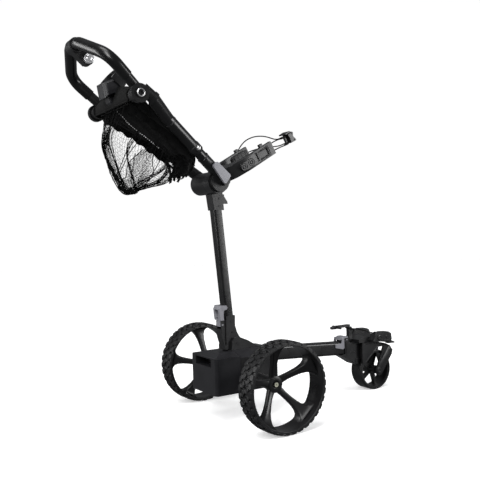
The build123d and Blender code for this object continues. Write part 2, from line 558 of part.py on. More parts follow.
# ---------------------------------------------------------------- handle frame
for name, way in SIDES:
    end = 76 if name == "right" else 66
    with BuildPart() as drum:
        rod(BARREL_R, BARREL_AHEAD, BARREL_UP, way * 22.2, way * 60)
        rod(BARREL_R - 5, BARREL_AHEAD, BARREL_UP, way * 60, way * end)
        arm_rod(18, -14, 100, way)
        arm_rod(13, 60, 101, way, mode=Mode.SUBTRACT)
        rod(BARREL_PIN_R + RUNNING, BARREL_AHEAD, BARREL_UP, way * 20, way * 60, mode=Mode.SUBTRACT)
        if name == "right":
            rod(14, -74, 768, way * 60, way * 93)
            rod(4 + RUNNING, -74, 768, way * 62, way * 94, mode=Mode.SUBTRACT)
    drum.part.label = f"drum_{name}"
    export_step(drum.part, f"parts/drum_{name}.step")

    with BuildPart() as arm:
        arm_rod(12.8, 62, 101, way)
        arm_rod(16.5, 100, 152, way)
        arm_rod(19, 152, ARM_LONG, way)
        with BuildSketch(arm_plane(ARM_LONG, way)):
            Circle(19)
        with BuildSketch(end_plane(352, way)):
            Circle(19.5)
        loft()
        with Locations(end_plane(352, way)):
            Cylinder(19.5, 42, align=(Align.CENTER, Align.CENTER, Align.MIN))
        with Locations(end_plane(348, way)):
            Cylinder(21.5, 10, align=(Align.CENTER, Align.CENTER, Align.MIN))
        rod(PIVOT_R, PIVOT_AHEAD, PIVOT_UP, way * CHEEK_IN, way * CHEEK_OUT)
        rod(45, PIVOT_AHEAD, PIVOT_UP, way * 100, way * CHEEK_IN, mode=Mode.SUBTRACT)
        rod(BOLT_R, PIVOT_AHEAD, PIVOT_UP, way * CHEEK_IN, way * CHEEK_OUT, mode=Mode.SUBTRACT)
        arm_rod(10, 60, 102, way, mode=Mode.SUBTRACT)
        arm_rod(13.5, 102, 155, way, mode=Mode.SUBTRACT)
        arm_rod(16, 155, ARM_LONG, way, mode=Mode.SUBTRACT)
    arm.part.label = f"arm_{name}"
    export_step(arm.part, f"parts/arm_{name}.step")

with BuildPart() as pivot_bolts:
    for name, way in SIDES:
        rod(BOLT_R, PIVOT_AHEAD, PIVOT_UP, way * 120, way * CHEEK_OUT)
        rod(14, PIVOT_AHEAD, PIVOT_UP, way * CHEEK_OUT, way * (CHEEK_OUT + 4))
        with BuildSketch(side(way * (CHEEK_OUT + 4))) as socket:
            with Locations((PIVOT_AHEAD, PIVOT_UP)):
                RegularPolygon(6, 6)
        extrude(socket.sketch, amount=3, both=True, mode=Mode.SUBTRACT)
pivot_bolts.part.label = "pivot_bolts"
export_step(pivot_bolts.part, "parts/pivot_bolts.step")

with BuildPart() as cross_tube:
    rod(9, PIVOT_AHEAD, PIVOT_UP, -137, 137)
    rod(BOLT_R, PIVOT_AHEAD, PIVOT_UP, -137, 137, mode=Mode.SUBTRACT)
cross_tube.part.label = "cross_tube"
export_step(cross_tube.part, "parts/cross_tube.step")

with BuildPart() as console_base:
    slab([(-436, 1016), (-400, 1030), (-386, 1044), (-396, 1066), (-409, 1070), (-443, 1052)], -30, 30)
    slab([(-430, 1018), (-406, 994), (-382, 1000), (-388, 1044), (-410, 1046)], -14, 14)
    rod(14, PIVOT_AHEAD, PIVOT_UP, -26, 26)
    rod(9, PIVOT_AHEAD, PIVOT_UP, -26, 26, mode=Mode.SUBTRACT)
console_base.part.label = "console_base"
export_step(console_base.part, "parts/console_base.step")

HOOD = Plane(origin=at(-389, 0, 1038), x_dir=(0, 1, 0), z_dir=(-0.78, 0, 0.626))
with BuildPart() as console_hood:
    for radius, depth, mode in ((44, 47, Mode.ADD), (41, 50, Mode.SUBTRACT)):
        with BuildSketch(HOOD.offset(0 if mode == Mode.ADD else 3)) as arch:
            Circle(radius)
            with Locations((0, 60)):
                Rectangle(120, 120, mode=Mode.SUBTRACT)
        extrude(arch.sketch, amount=depth, mode=mode)
    block((-470, -380), (-30.3, 30.3), (1000, 1067), mode=Mode.SUBTRACT)
console_hood.part.label = "console_hood"
export_step(console_hood.part, "parts/console_hood.step")

# The panel and the net hang below the plane of the two arms.
ARMS = Plane(origin=at(-74, 0, 782), x_dir=(-0.796, 0, 0.606), z_dir=(0.606, 0, 0.796))
with BuildPart() as fabric_panel:
    with BuildSketch(ARMS.offset(-9)):
        with BuildLine():
            Polyline((140, -66), (362, -117), (362, 117), (140, 66), close=True)
        make_face()
    extrude(amount=3)
fabric_panel.part.label = "fabric_panel"
export_step(fabric_panel.part, "parts/fabric_panel.step")

with BuildPart() as net_basket:
    slab([(-398, 972), (-428, 900), (-415, 820), (-385, 745), (-350, 743), (-292, 778), (-225, 792),
          (-200, 846)], -84, 84)
    slab([(-396, 985), (-424, 900), (-411, 821), (-382, 749), (-351, 747), (-293, 782), (-228, 796),
          (-205, 870)], -81, 81, mode=Mode.SUBTRACT)
net_basket.part.label = "net_basket"
export_step(net_basket.part, "parts/net_basket.step")

with BuildPart() as barrel_lever:
    slab([(-126, 812), (-112, 828), (-62, 784), (-84, 754)], -103, -94, corner=7)
    rod(4, -74, 768, -94, -64)
barrel_lever.part.label = "barrel_lever"
export_step(barrel_lever.part, "parts/barrel_lever.step")


# ---------------------------------------------------------------- handle loop
def loop_line(start):
    """The loop's middle line, from a share of the way up the right leg round to the left leg."""
    leg, bend, corner = (-391, 143, 1022), (-476, 160, 1100), (-517, 38, 1157)
    first = tuple(a + (b - a) * start for a, b in zip(leg, bend))
    right = [at(ahead, -left, up) for ahead, left, up in (first, bend, corner)]
    left = [at(*spot) for spot in (corner, bend, first)]
    with BuildLine() as route:
        FilletPolyline(*right, *left, radius=[55, 32, 32, 55])
    return route.line


with BuildPart() as loop_tube:
    path = loop_line(0)
    with BuildSketch(Plane(origin=path @ 0, z_dir=path % 0)):
        Circle(LOOP_R)
        Circle(LOOP_R - 2.5, mode=Mode.SUBTRACT)
    sweep(path=path)
    for name, way in SIDES:
        rod(22, PIVOT_AHEAD, PIVOT_UP, way * 140.5, way * 161.5)
        rod(BOLT_R + RUNNING, PIVOT_AHEAD, PIVOT_UP, way * 120, way * 170, mode=Mode.SUBTRACT)
loop_tube.part.label = "loop_tube"
export_step(loop_tube.part, "parts/loop_tube.step")

with BuildPart() as loop_grip:
    path = loop_line(0.36)
    with BuildSketch(Plane(origin=path @ 0, z_dir=path % 0)):
        Circle(GRIP_R)
        Circle(LOOP_R, mode=Mode.SUBTRACT)
    sweep(path=path)
loop_grip.part.label = "loop_grip"
export_step(loop_grip.part, "parts/loop_grip.step")

with BuildPart() as control_pod:
    rod(21.5, -517, 1157, -20, 20)
    slab([(-532, 1142), (-503, 1173), (-474, 1138), (-470, 1112), (-490, 1104)], -13, 13)
    rod(17, DIAL_AHEAD, DIAL_UP, -13, 13)
    rod(GRIP_R, -517, 1157, -40, 40, mode=Mode.SUBTRACT)
    rod(4 + RUNNING, DIAL_AHEAD, DIAL_UP, -13, 3, mode=Mode.SUBTRACT)
control_pod.part.label = "control_pod"
export_step(control_pod.part, "parts/control_pod.step")

with BuildPart() as speed_dial:
    rod(DIAL_R, DIAL_AHEAD, DIAL_UP, -30, -13.5)
    rod(4, DIAL_AHEAD, DIAL_UP, -14, 2)
speed_dial.part.label = "speed_dial"
export_step(speed_dial.part, "parts/speed_dial.step")
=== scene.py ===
import json
from math import cos, pi, radians, sin, sqrt

import bmesh
import bpy
from mathutils import Matrix, Vector, noise


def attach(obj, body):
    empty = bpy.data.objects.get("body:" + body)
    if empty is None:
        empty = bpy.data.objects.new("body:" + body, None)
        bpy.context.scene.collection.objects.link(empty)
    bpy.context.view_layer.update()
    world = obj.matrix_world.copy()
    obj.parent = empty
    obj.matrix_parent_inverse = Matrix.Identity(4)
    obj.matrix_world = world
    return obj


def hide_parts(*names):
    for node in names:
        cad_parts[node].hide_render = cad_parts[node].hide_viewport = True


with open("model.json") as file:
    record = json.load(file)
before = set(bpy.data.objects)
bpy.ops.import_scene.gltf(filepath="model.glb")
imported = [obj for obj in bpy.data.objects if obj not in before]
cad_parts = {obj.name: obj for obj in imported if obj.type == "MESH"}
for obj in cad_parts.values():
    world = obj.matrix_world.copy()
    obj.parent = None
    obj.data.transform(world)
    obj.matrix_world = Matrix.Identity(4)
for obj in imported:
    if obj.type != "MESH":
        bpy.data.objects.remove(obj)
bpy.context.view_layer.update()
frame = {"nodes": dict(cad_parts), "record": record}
NODES = frame["nodes"]
MM = 0.001
AXLE_X = -65.0  # the rear axle's place behind the origin, in millimetres
SIDES = (("right", -1), ("left", 1))


def at(ahead, left, up):
    """A point ahead of the rear axle, left of the middle and above the ground, in metres."""
    return Vector(((AXLE_X + ahead) * MM, left * MM, up * MM))


# ---------------------------------------------------------------- camera, floor and light
def camera():
    """The camera's place, lens and small roll."""
    azimuth, elevation, roll = radians(-32.02), radians(0.77), radians(-1.75)
    back = Vector((sin(azimuth) * cos(elevation), -cos(azimuth) * cos(elevation), sin(elevation)))
    right = (-back).cross(Vector((0, 0, 1))).normalized()
    up = right.cross(-back)
    turned_right = right * cos(roll) + up * sin(roll)
    turned_up = up * cos(roll) - right * sin(roll)
    data = bpy.data.cameras.new("camera")
    data.sensor_width = 36
    data.lens = 50.21
    eye = bpy.data.objects.new("camera", data)
    bpy.context.scene.collection.objects.link(eye)
    turn = Matrix((turned_right, turned_up, back)).transposed().to_4x4()
    eye.matrix_world = Matrix.Translation(at(-1155.3, -1890.0, 609.3)) @ turn
    bpy.context.scene.camera = eye


def area_light(name, place, target, size, power, colour=(1, 1, 1)):
    data = bpy.data.lights.new(name, "AREA")
    data.shape = "RECTANGLE"
    data.size, data.size_y = size
    data.energy = power
    data.color = colour
    light = bpy.data.objects.new(name, data)
    bpy.context.scene.collection.objects.link(light)
    light.location = place
    light.rotation_mode = "QUATERNION"
    light.rotation_quaternion = (Vector(target) - Vector(place)).to_track_quat("-Z", "Y")


def studio():
    """The pale floor and backdrop, an overhead sun and three soft lamps."""
    world = bpy.data.worlds.new("studio")
    bpy.context.scene.world = world
    bpy.context.scene.view_settings.view_transform = "Standard"
    world.use_nodes = True
    back = world.node_tree.nodes["Background"]
    back.inputs["Color"].default_value = (0.95, 0.97, 1.0, 1)
    back.inputs["Strength"].default_value = 0.16
    data = bpy.data.lights.new("overhead", "SUN")
    data.energy, data.angle = 1.9, radians(36)
    overhead = bpy.data.objects.new("overhead", data)
    bpy.context.scene.collection.objects.link(overhead)
    overhead.rotation_mode = "QUATERNION"
    overhead.rotation_quaternion = Vector((0.30, 0.16, -1)).to_track_quat("-Z", "Y")
    area_light("key", (-1.9, -1.5, 1.9), (0, 0, 0.5), (0.7, 1.7), 52)
    area_light("rear", (-2.2, 1.4, 1.1), (-0.2, 0, 0.5), (0.6, 1.7), 28)
    area_light("front", (1.7, -1.9, 1.0), (0.2, 0, 0.4), (0.9, 1.6), 46)
    mesh = bpy.data.meshes.new("floor")
    half = 11.0
    mesh.from_pydata([(-half, -half, 0), (half, -half, 0), (half, half, 0), (-half, half, 0)], [],
                     [(0, 1, 2, 3)])
    floor = bpy.data.objects.new("floor", mesh)
    bpy.context.scene.collection.objects.link(floor)
    material = bpy.data.materials.new("floor")
    material.use_nodes = True
    shader = material.node_tree.nodes["Principled BSDF"]
    shader.inputs["Base Color"].default_value = (0.90, 0.90, 0.90, 1)
    shader.inputs["Roughness"].default_value = 0.8
    shader.inputs["Specular IOR Level"].default_value = 0.1
    shader.inputs["Emission Color"].default_value = (1, 1, 1, 1)
    shader.inputs["Emission Strength"].default_value = 0.43
    mesh.materials.append(material)
    floor.visible_glossy = floor.visible_diffuse = False
    builder = bmesh.new()
    bmesh.ops.create_uvsphere(builder, u_segments=48, v_segments=24, radius=10.0)
    dome_mesh = bpy.data.meshes.new("backdrop")
    builder.to_mesh(dome_mesh)
    builder.free()
    dome = bpy.data.objects.new("backdrop", dome_mesh)
    bpy.context.scene.collection.objects.link(dome)
    glow = bpy.data.materials.new("backdrop")
    glow.use_nodes = True
    shader = glow.node_tree.nodes["Principled BSDF"]
    shader.inputs["Base Color"].default_value = (0, 0, 0, 1)
    shader.inputs["Emission Color"].default_value = (1, 1, 1, 1)
    shader.inputs["Emission Strength"].default_value = 1.0
    dome_mesh.materials.append(glow)
    dome.visible_diffuse = dome.visible_glossy = dome.visible_shadow = dome.visible_transmission = False


camera()
studio()


# ---------------------------------------------------------------- materials
class Maker:
    """A small helper that adds nodes to one material and links them."""

    def __init__(self, name):
        self.material = bpy.data.materials.new(name)
        self.material.use_nodes = True
        self.tree = self.material.node_tree
        self.shader = self.tree.nodes["Principled BSDF"]
        coord = self.tree.nodes.new("ShaderNodeTexCoord")
        self.place = coord.outputs["Object"]

    def node(self, kind, **inputs):
        made = self.tree.nodes.new(kind)
        for key, value in inputs.items():
            self.feed(made.inputs[key.replace("_", " ")], value)
        return made

    def feed(self, socket, value):
        if isinstance(value, bpy.types.NodeSocket):
            self.tree.links.new(value, socket)
        else:
            socket.default_value = value

    def noise(self, scale, detail=4.0, rough=0.55, place=None):
        made = self.node("ShaderNodeTexNoise", Vector=place or self.place, Scale=scale, Detail=detail,
                         Roughness=rough)
        return made.outputs["Fac"]

    def ramp(self, fac, *stops):
        made = self.node("ShaderNodeValToRGB", Fac=fac)
        elements = made.color_ramp.elements
        while len(elements) < len(stops):
            elements.new(0.5)
        for element, (place, colour) in zip(elements, stops):
            element.position = place
            element.color = colour if len(colour) == 4 else (*colour, 1)
        return made.outputs["Color"]

    def mix(self, fac, first, second, blend="MIX"):
        made = self.tree.nodes.new("ShaderNodeMix")
        made.data_type = "RGBA"
        made.blend_type = blend
        self.feed(made.inputs["Factor"], fac)
        self.feed(made.inputs[6], first)
        self.feed(made.inputs[7], second)
        return made.outputs[2]

    def math(self, way, first, second=0.0):
        made = self.tree.nodes.new("ShaderNodeMath")
        made.operation = way
        self.feed(made.inputs[0], first)
        self.feed(made.inputs[1], second)
        return made.outputs[0]

    def bump(self, height, strength, distance, under=None):
        made = self.node("ShaderNodeBump", Height=height, Strength=strength, Distance=distance)
        if under is not None:
            self.feed(made.inputs["Normal"], under)
        return made.outputs["Normal"]


def grey(value, tint=1.0):
    return (value, value, value * tint, 1)


def moulded(name, tone, rough, grain=1500.0, depth=0.00012, wear=0.35, spread=0.18, tint=1.06, metal=0.0,
            coat=0.0, level=0.5, stretch=None):
    """Plastic, rubber or painted metal: fine grain, blotches of gloss, and faint paler scuffs."""
    make = Maker(name)
    place = make.place
    if stretch:
        place = make.node("ShaderNodeMapping", Vector=make.place, Scale=stretch).outputs["Vector"]
    blotch = make.noise(14.0, 5.0, 0.6)
    fine = make.noise(grain, 3.0, 0.5, place)
    low, high = (tuple(min(1.0, c * (1 + way * spread)) for c in (tone, tone, tone * tint))
                 for way in (-1, 1))
    body = make.ramp(blotch, (0.35, low), (0.65, high))
    scuffs = make.ramp(make.noise(55.0, 6.0, 0.7), (0.60, (0, 0, 0)), (0.74, (1, 1, 1)))
    worn = make.math("MULTIPLY", scuffs, wear)
    paler = tuple(min(1.0, c * 2.0 + 0.018) for c in (tone, tone, tone * tint))
    make.feed(make.shader.inputs["Base Color"], make.mix(worn, body, (*paler, 1)))
    gloss = make.ramp(blotch, (0.3, (rough - 0.06,) * 3), (0.7, (rough + 0.07,) * 3))
    make.feed(make.shader.inputs["Roughness"], gloss)
    make.feed(make.shader.inputs["Normal"], make.bump(fine, 0.22, depth * 0.2))
    make.shader.inputs["Metallic"].default_value = metal
    make.shader.inputs["Coat Weight"].default_value = coat
    make.shader.inputs["Coat Roughness"].default_value = 0.25
    make.shader.inputs["Specular IOR Level"].default_value = level
    return make.material


def woven(name, tone, pitch, sheen=0.4, glow=0.0):
    """Cloth with warp and weft ribs of this pitch, in metres."""
    make = Maker(name)
    ribs = []
    for axis in ("X", "Y", "Z"):
        wave = make.node("ShaderNodeTexWave", Vector=make.place, Scale=1 / pitch / 6.283, Distortion=0.6)
        wave.bands_direction = axis
        ribs.append(wave.outputs["Fac"])
    weave = make.math("ADD", make.math("MULTIPLY", ribs[0], ribs[1]), make.math("MULTIPLY", ribs[2], 0.6))
    fuzz = make.noise(1800.0)
    body = make.mix(weave, grey(tone * 0.6), grey(tone * 1.5, 1.04))
    make.feed(make.shader.inputs["Base Color"], make.mix(make.noise(20.0), body, grey(tone), "MIX"))
    make.feed(make.shader.inputs["Roughness"], make.ramp(fuzz, (0.3, (0.78,) * 3), (0.7, (0.95,) * 3)))
    under = make.bump(weave, 0.6, pitch * 0.4)
    make.feed(make.shader.inputs["Normal"], make.bump(fuzz, 0.3, 0.0002, under))
    make.shader.inputs["Sheen Weight"].default_value = sheen
    # glow gives the cloth light of its own: painted light, which only the thread uses.
    make.shader.inputs["Emission Color"].default_value = (1, 1, 1, 1)
    make.shader.inputs["Emission Strength"].default_value = glow
    make.shader.inputs["Sheen Roughness"].default_value = 0.4
    make.shader.inputs["Specular IOR Level"].default_value = 0.15
    return make.material


LOOKS = {
    "rubber": moulded("rubber", 0.010, 0.42, 900.0, 0.0003, 0.5, level=0.30),
    "black_plastic": moulded("black_plastic", 0.010, 0.32, 1400.0, 0.00007, 0.10, level=0.34),
    "case_plastic": moulded("case_plastic", 0.013, 0.34, 1100.0, 0.00010, 0.12, tint=1.15, level=0.32),
    "black_tube": moulded("black_tube", 0.006, 0.27, 2200.0, 0.00002, 0.10, coat=0.10, level=0.34),
    "grey_plastic": moulded("grey_plastic", 0.21, 0.34, 1400.0, 0.00005, 0.15, 0.10, 1.10, level=0.5),
    "black_steel": moulded("black_steel", 0.020, 0.28, 900.0, 0.00004, 0.5, metal=0.6),
    "steel": moulded("steel", 0.55, 0.30, 900.0, 0.00004, 0.2, 0.05, 1.0, metal=1.0, stretch=(1, 12, 1)),
    "bolt": moulded("bolt", 0.66, 0.30, 700.0, 0.00003, 0.2, 0.05, 0.80, metal=0.35),
    "grip": moulded("grip", 0.004, 0.26, 1700.0, 0.00004, 0.08, level=0.36),
    "fabric": woven("fabric", 0.0022, 0.0016, 0.02),
    # The thread is pale and glows faintly: painted light standing for the backdrop seen through the gaps
    # between the net's rim and the cloth panel.
    "thread": woven("thread", 0.70, 0.0008, 0.20, 0.20),
    "cell": moulded("cell", 0.12, 0.35, 900.0, 0.00004, 0.1, tint=2.4),
    "board": moulded("board", 0.035, 0.40, 500.0, 0.00004, 0.1, tint=0.5),
    "dial": moulded("dial", 0.72, 0.20, 800.0, 0.00003, 0.1, 0.05, 1.02, metal=0.45, coat=0.3),
}
SLOT_OF = {row["node"]: row["material_slot"] for row in frame["record"]["subparts"]}


def give(piece, look):
    """Gives a piece one material."""
    piece.data.materials.clear()
    piece.data.materials.append(LOOKS[look])
    return piece


# ---------------------------------------------------------------- mesh helpers
def finished(mesh_builder, name, body, look, replaces=(), smooth=True, level=0, bevel=0.0):
    """Turns a bmesh into a piece that rides on a CAD body."""
    mesh = bpy.data.meshes.new(name)
    bmesh.ops.recalc_face_normals(mesh_builder, faces=mesh_builder.faces)
    mesh_builder.to_mesh(mesh)
    mesh_builder.free()
    piece = bpy.data.objects.new(name, mesh)
    bpy.context.scene.collection.objects.link(piece)
    for polygon in mesh.polygons:
        polygon.use_smooth = smooth
    give(piece, look)
    if bevel:
        edge = piece.modifiers.new("edge", "BEVEL")
        edge.width, edge.segments, edge.limit_method = bevel, 2, "ANGLE"
        edge.angle_limit = radians(35)
        edge.harden_normals = True
    if level:
        more = piece.modifiers.new("more", "SUBSURF")
        more.levels = more.render_levels = level
    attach(piece, body)
    if replaces:
        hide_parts(*replaces)
    return piece


def soften(node, width, angle=32):
    """Rounds a CAD node's edges with modifiers, so that they catch the light."""
    piece = NODES[node]
    kept = piece.data.attributes.get("custom_normal")
    if kept:
        piece.data.attributes.remove(kept)
    for polygon in piece.data.polygons:
        polygon.use_smooth = True
    weld = piece.modifiers.new("weld", "WELD")
    weld.merge_threshold = 1e-5
    clean = piece.modifiers.new("clean", "DECIMATE")
    clean.decimate_type = "DISSOLVE"
    clean.angle_limit = radians(0.8)
    edge = piece.modifiers.new("edge", "BEVEL")
    edge.width, edge.segments, edge.limit_method = width * MM, 2, "ANGLE"
    edge.angle_limit = radians(angle)
    edge.harden_normals = True
    return piece


def ring_of(builder, points):
    return [builder.verts.new(point) for point in points]


def skin(builder, rings, close_round=True, ends=True):
    """Joins rings of the same number of points with quads."""
    rows = [ring_of(builder, ring) if not isinstance(ring[0], bmesh.types.BMVert) else ring
            for ring in rings]
    for first, second in zip(rows, rows[1:]):
        count = len(first)
        for number in range(count if close_round else count - 1):
            after = (number + 1) % count
            builder.faces.new((first[number], first[after], second[after], second[number]))
    if ends:
        builder.faces.new(list(reversed(rows[0])))
        builder.faces.new(rows[-1])
    return rows


def turned(builder, profile, centre, way=1, steps=96, closed=True):
    """A ring turned about a Y axis through centre, from a profile of (left, radius) pairs in mm."""
    rows = []
    for number in range(steps):
        turn = 2 * pi * number / steps
        rows.append([builder.verts.new(centre + Vector((radius * cos(turn), way * left,
                                                        radius * sin(turn))) * MM)
                     for left, radius in profile])
    count = len(profile)
    for number in range(steps):
        first, second = rows[number], rows[(number + 1) % steps]
        for step in range(count if closed else count - 1):
            after = (step + 1) % count
            builder.faces.new((first[step], first[after], second[after], second[step]))


def rounded(width, height, corner, steps=4):
    """A rounded rectangle's points about its middle."""
    points = []
    for number, (x, y) in enumerate(((1, 1), (-1, 1), (-1, -1), (1, -1))):
        for step in range(steps + 1):
            turn = radians(90 * (number + step / steps))
            points.append((x * (width / 2 - corner) + corner * cos(turn),
                           y * (height / 2 - corner) + corner * sin(turn)))
    return points


# ---------------------------------------------------------------- every CAD node's finish
EDGE = {"lower_housing": 2.0, "upper_housing": 3.0, "hinge_cover": 3.0, "lower_bracket": 2.0,
        "upper_collar": 2.0, "upper_cradle": 3.0, "front_fork": 2.5, "front_bracket": 2.0, "lower_latch": 2.5,
        "lower_cradle": 3.0, "barrel_lever": 2.0, "console_base": 2.5, "console_hood": 1.0, "drum_right": 1.5,
        "drum_left": 1.5, "bag_clip": 1.5, "front_latch": 1.5, "cradle_pads": 2.0, "strap_toggle": 1.5,
        "control_pod": 2.5, "speed_dial": 2.0, "rim_right": 2.0, "rim_left": 2.0, "front_rim": 2.0}
# Round pieces, and the battery's curved case, keep the smooth normals that they come with.
ROUND = {"loop_tube", "loop_grip", "arm_right", "arm_left", "cross_tube", "axle_tube_right",
         "axle_tube_left", "front_tyre", "front_axle", "front_hinge_pin", "post_hinge_pin", "barrel_pin",
         "pivot_bolts", "post_screws", "hub_bolt_right", "hub_bolt_left", "gear_motor_right",
         "gear_motor_left", "battery_case"}
for node, piece in NODES.items():
    give(piece, SLOT_OF[node])
    if node not in ROUND:
        soften(node, EDGE.get(node, 0.8))


# ---------------------------------------------------------------- rear wheels
WHEEL_R, WHEEL_MID, SPOKE_ANGLE = 140.0, 260.5, 24.0


def tread(builder, way, centre):
    """Staggered six-sided blocks round the tyre, with lugs that wrap its shoulders."""
    count = 34
    flat_half, shoulder_drop = 29.0, 0.09
    pitch = 2 * pi / count
    size = 0.5 * pitch * (WHEEL_R - 2)

    def block(turn, left, outline, tops):
        rings = []
        for radius, share in tops:
            ring = []
            for along, across in outline:
                angle = turn + along * share / WHEEL_R
                spot = left + across * share
                fall = max(0.0, abs(spot) - flat_half)
                high = radius - shoulder_drop * fall * fall
                ring.append(centre + Vector((high * cos(angle), way * (WHEEL_MID + spot),
                                             high * sin(angle))) * MM)
            rings.append(ring)
        skin(builder, rings)

    six = [(size * 0.82 * sin(radians(60 * n)) / 0.866, size * 0.94 * cos(radians(60 * n)))
           for n in range(6)]
    tops = ((134.2, 1.0), (138.9, 0.97), (139.9, 0.90), (139.7, 0.80), (137.6, 0.68))
    for number in range(count):
        turn = number * pitch
        for left in (-11.6, 11.6):
            block(turn + (pitch / 2 if left > 0 else 0), left, six, tops)
        for left in (-1, 1):
            lug = [(-size * 0.82, left * -3.0), (-size * 0.45, left * -9.0), (size * 0.45, left * -9.0),
                   (size * 0.82, left * -3.0), (size * 0.7, left * 8.0), (-size * 0.7, left * 8.0)]
            block(turn + (0 if left > 0 else pitch / 2), left * 27.0, lug, ((133.6, 1.0), (138.4, 0.95),
                                                                        (139.4, 0.8)))


def rear_wheel(name, way):
    """A tyre with its tread, and a rim with five spokes and a hub, on one side."""
    centre = at(0, 0, WHEEL_R)
    middle = WHEEL_MID
    builder = bmesh.new()
    half = 35.0
    profile = [(-half + 1, 131.2), (-half + 0.2, 133.0), (-half + 1.6, 134.6), (-half + 5, 134.9),
               (-20, 135.0), (0, 135.0), (20, 135.0), (half - 5, 134.9), (half - 1.6, 134.6),
               (half - 0.2, 133.0), (half - 1, 131.2)]
    turned(builder, [(middle + left, radius) for left, radius in profile], centre, way, 136)
    tread(builder, way, centre)
    finished(builder, f"tyre_{name}_look", f"wheel_{name}", "rubber", [f"tyre_{name}"], smooth=False,
             bevel=0.0004)

    builder = bmesh.new()
    profile = [(-34, 131.2), (-34.8, 130.4), (-34.8, 126.6), (-33.5, 125.4), (-30, 125.2), (-10, 126.4),
               (0, 126.8), (10, 126.4), (30, 125.2), (33.5, 125.4), (34.8, 126.6), (34.8, 130.4),
               (34, 131.2)]
    turned(builder, [(middle + left, radius) for left, radius in profile], centre, way, 136)
    sections = ((16, 22, 20, 210, 5), (27, 21, 20, 211, 5), (45, 18.5, 19, 216, 5), (65, 19, 20, 224, 5),
                (85, 22, 22, 232, 5.5), (102, 29, 26, 239, 6), (114, 40, 32, 243.5, 6.5),
                (121, 54, 38, 246, 7), (125.5, 70, 44, 247.5, 7), (127.2, 78, 48, 248, 7))
    for number in range(5):
        turn = radians(SPOKE_ANGLE + 72 * number)
        out, across = Vector((cos(turn), 0, sin(turn))), Vector((-sin(turn), 0, cos(turn)))
        rings = []
        for radius, wide, deep, left, corner in sections:
            ring = []
            for x, y in rounded(wide, deep, corner, 3):
                bend = sqrt(max(1.0, radius * radius - x * x)) if radius > 100 else radius
                ring.append(centre + (out * bend + across * x + Vector((0, way * (left + y), 0))) * MM)
            rings.append(ring)
        skin(builder, rings)
    hub = [(197, 8), (197, 23), (198.5, 25.5), (201, 26.2), (219, 26.2), (221.6, 25), (222.6, 22.5),
           (222.6, 12.5), (221.6, 11.8), (219.0, 11.6), (219.0, 8)]
    turned(builder, hub, centre, way, 64)
    finished(builder, f"rim_{name}_look", f"wheel_{name}", "black_plastic", [f"rim_{name}"], bevel=0.0006)


for side_name, side_way in SIDES:
    rear_wheel(side_name, side_way)


# ---------------------------------------------------------------- cords
def cord_piece(name, body, node, route, diameter):
    """An elastic cord on one smooth curve through the route's control points."""
    data = bpy.data.curves.new(name, "CURVE")
    data.dimensions = "3D"
    data.bevel_depth = diameter / 2
    data.bevel_resolution = 4
    data.resolution_u = 8
    spline = data.splines.new("NURBS")
    spline.points.add(len(route) - 1)
    for point, place in zip(spline.points, route):
        point.co = (*place, 1)
    spline.order_u = 3
    spline.use_endpoint_u = True
    piece = bpy.data.objects.new(name, data)
    bpy.context.scene.collection.objects.link(piece)
    data.materials.append(LOOKS["fabric"])
    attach(piece, body)
    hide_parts(node)
    return piece


# The upper cradle's root, ahead of the rear axle and above the ground in mm, and how far it tilts up.
CRADLE_AHEAD, CRADLE_UP, TILT = -46, 786, radians(29.5)


def cradle_place(out, left, high):
    """A point given along the upper cradle, to the left and above its middle plane."""
    return at(CRADLE_AHEAD + out * cos(TILT) - high * sin(TILT), left,
              CRADLE_UP + out * sin(TILT) + high * cos(TILT))


UPPER = [cradle_place(*spot) for spot in (
    (158, 76, 27.8), (182, 71, 44), (222, 56, 46), (258, 38, 28), (284, 24, -4), (305, 12, -4),
    (305, -12, -4), (284, -24, -4), (228, -57, 14), (189, -75, 17))]
SECOND = [cradle_place(*spot) for spot in (
    (189, 75, 4), (226, 59, 0), (268, 37, -20), (288, 24, -28), (305, 12, -28), (305, -12, -28),
    (288, -24, -28), (266, -37, -23), (226, -57, -14), (189, -75, -8))]
LOWER = [at(*spot) for spot in ((561.7, 56, 217), (520, 30, 234), (479, 11.5, 239), (479, -11.5, 239),
                                (520, -30, 234), (561.7, -56, 217))]
for cord_name, cord_body, cord_node, cord_route in (
        ("bungee_upper", "post", "upper_bungee", UPPER), ("bungee_second", "post", "second_bungee", SECOND),
        ("bungee_lower", "fork", "lower_bungee", LOWER)):
    piece = cord_piece(cord_name, cord_body, cord_node, cord_route, 0.004)


# ---------------------------------------------------------------- cloth panel and net between the arms
def tube_along(builder, points, radius, sides=8, closed=False):
    """A round tube through points, in metres."""
    count = len(points)
    rings = []
    last = None
    for number, point in enumerate(points):
        before = points[(number - 1) % count] if closed or number else point
        after = points[(number + 1) % count] if closed or number < count - 1 else point
        along = (after - before).normalized()
        side = last or (Vector((0, 0, 1)) if abs(along.z) < 0.9 else Vector((1, 0, 0)))
        side = (side - along * side.dot(along)).normalized()
        last = side
        other = along.cross(side)
        rings.append([builder.verts.new(point + (side * cos(2 * pi * n / sides)
                                                 + other * sin(2 * pi * n / sides)) * radius)
                      for n in range(sides)])
    pairs = list(zip(rings, rings[1:])) + ([(rings[-1], rings[0])] if closed else [])
    for first, second in pairs:
        for n in range(sides):
            after = (n + 1) % sides
            builder.faces.new((first[n], first[after], second[after], second[n]))
    if not closed:
        builder.faces.new(list(reversed(rings[0])))
        builder.faces.new(rings[-1])


def along_line(line, share):
    """The place at a share of the way along a polyline of (x, y) pairs."""
    steps = [sqrt((b[0] - a[0]) ** 2 + (b[1] - a[1]) ** 2) for a, b in zip(line, line[1:])]
    left = share * sum(steps)
    for (a, b), step in zip(zip(line, line[1:]), steps):
        if left <= step or (a, b) == (line[-2], line[-1]):
            part = min(1.0, left / step)
            return a[0] + (b[0] - a[0]) * part, a[1] + (b[1] - a[1]) * part
        left -= step
    return line[-1]


